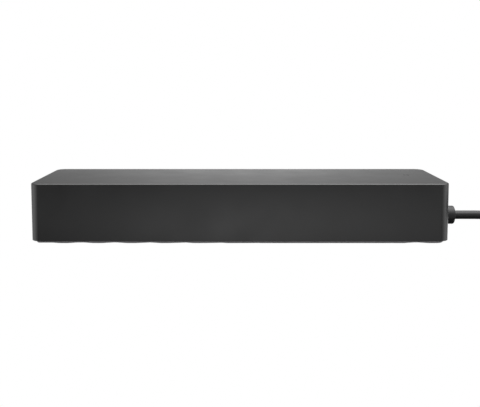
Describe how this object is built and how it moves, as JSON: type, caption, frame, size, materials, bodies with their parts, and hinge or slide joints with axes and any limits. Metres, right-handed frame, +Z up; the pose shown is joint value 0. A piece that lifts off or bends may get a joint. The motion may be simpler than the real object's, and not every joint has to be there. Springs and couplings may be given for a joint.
{
  "type": "laptop docking station",
  "caption": "Long, low desk docking station for a laptop: moulded cover over a screwed base tray, sockets along the rear, sprung power button and a captive host cable.",
  "frame": {"origin": "on the table under the middle of the housing", "axes": "+X along the housing towards the cable end, +Y towards the side with the sockets, +Z up"},
  "size_m": [0.3424, 0.0628, 0.0306],
  "materials": {
    "cover_plastic": "fine satin-matte dark grey moulding",
    "panel_plastic": "fine-grained near-black moulding",
    "tray_plastic": "plain matte dark grey moulding",
    "pad_rubber": "soft matte grey rubber",
    "cable_rubber": "smooth satin near-black elastomer",
    "tie_fabric": "woven hook-and-loop strap",
    "board_laminate": "dark green solder mask over glass laminate",
    "socket_metal": "bright nickel-plated pressed steel",
    "socket_plastic": "black moulded plastic",
    "contact_gold": "gold-plated contact wire",
    "chip_epoxy": "matte black moulded epoxy",
    "ferrite": "grey pressed ferrite",
    "spreader_aluminium": "satin extruded aluminium",
    "shield_steel": "zinc-plated pressed steel",
    "screw_steel": "blackened steel",
    "thermal_silicone": "soft blue-grey silicone",
    "light_pipe": "smoked translucent plastic"
  },
  "bodies": {
    "housing": {"base_pad": "pad_rubber", "base_screw_1": "screw_steel", "base_screw_2": "screw_steel", "base_screw_3": "screw_steel", "base_screw_4": "screw_steel", "base_tray": "tray_plastic", "board_screw_1": "screw_steel", "board_screw_2": "screw_steel", "board_screw_3": "screw_steel", "board_screw_4": "screw_steel", "bulk_capacitor": "spreader_aluminium", "cable_board_header": "socket_plastic", "cable_board_plug": "socket_plastic", "cable_clamp": "tray_plastic", "cable_clamp_screw_1": "screw_steel", "cable_clamp_screw_2": "screw_steel", "cable_collar": "cable_rubber", "cable_tie": "tie_fabric", "heat_spreader": "spreader_aluminium", "host_cable": "cable_rubber", "host_cable_coil": "cable_rubber", "host_cable_inner": "cable_rubber", "host_cable_tail": "cable_rubber", "host_plug_body": "cable_rubber", "host_plug_metal": "socket_metal", "hub_controller_chip": "chip_epoxy", "led_light_pipe": "light_pipe", "main_board": "board_laminate", "network_controller_chip": "chip_epoxy", "network_jack_body": "socket_plastic", "network_jack_contacts": "contact_gold", "network_jack_shield": "socket_metal", "network_transformer": "chip_epoxy", "port_panel": "panel_plastic", "power_controller_chip": "chip_epoxy", "power_inductor": "ferrite", "power_switch_body": "chip_epoxy", "shield_plate": "shield_steel", "status_led": "light_pipe", "thermal_pad_1": "thermal_silicone", "thermal_pad_2": "thermal_silicone", "top_cover": "cover_plastic", "usb_a_socket_1_shell": "socket_metal", "usb_a_socket_1_tongue": "socket_plastic", "usb_a_socket_2_shell": "socket_metal", "usb_a_socket_2_tongue": "socket_plastic", "usb_c_socket_1_shell": "socket_metal", "usb_c_socket_1_tongue": "socket_plastic", "usb_c_socket_2_shell": "socket_metal", "usb_c_socket_2_tongue": "socket_plastic", "video_bridge_chip": "chip_epoxy", "video_socket_1_shell": "socket_metal", "video_socket_1_tongue": "socket_plastic", "video_socket_2_shell": "socket_metal", "video_socket_2_tongue": "socket_plastic"},
    "power_button": {"power_button": "panel_plastic", "power_switch_plunger": "socket_plastic"}
  },
  "joints": [
    {"name": "power_button_press", "type": "slide", "parent": "housing", "child": "power_button", "axis": [0, -1, 0], "range_m": [0, 0.0004], "stiffness_N_per_m": 1500, "springref_m": -0.0003}
  ]
}
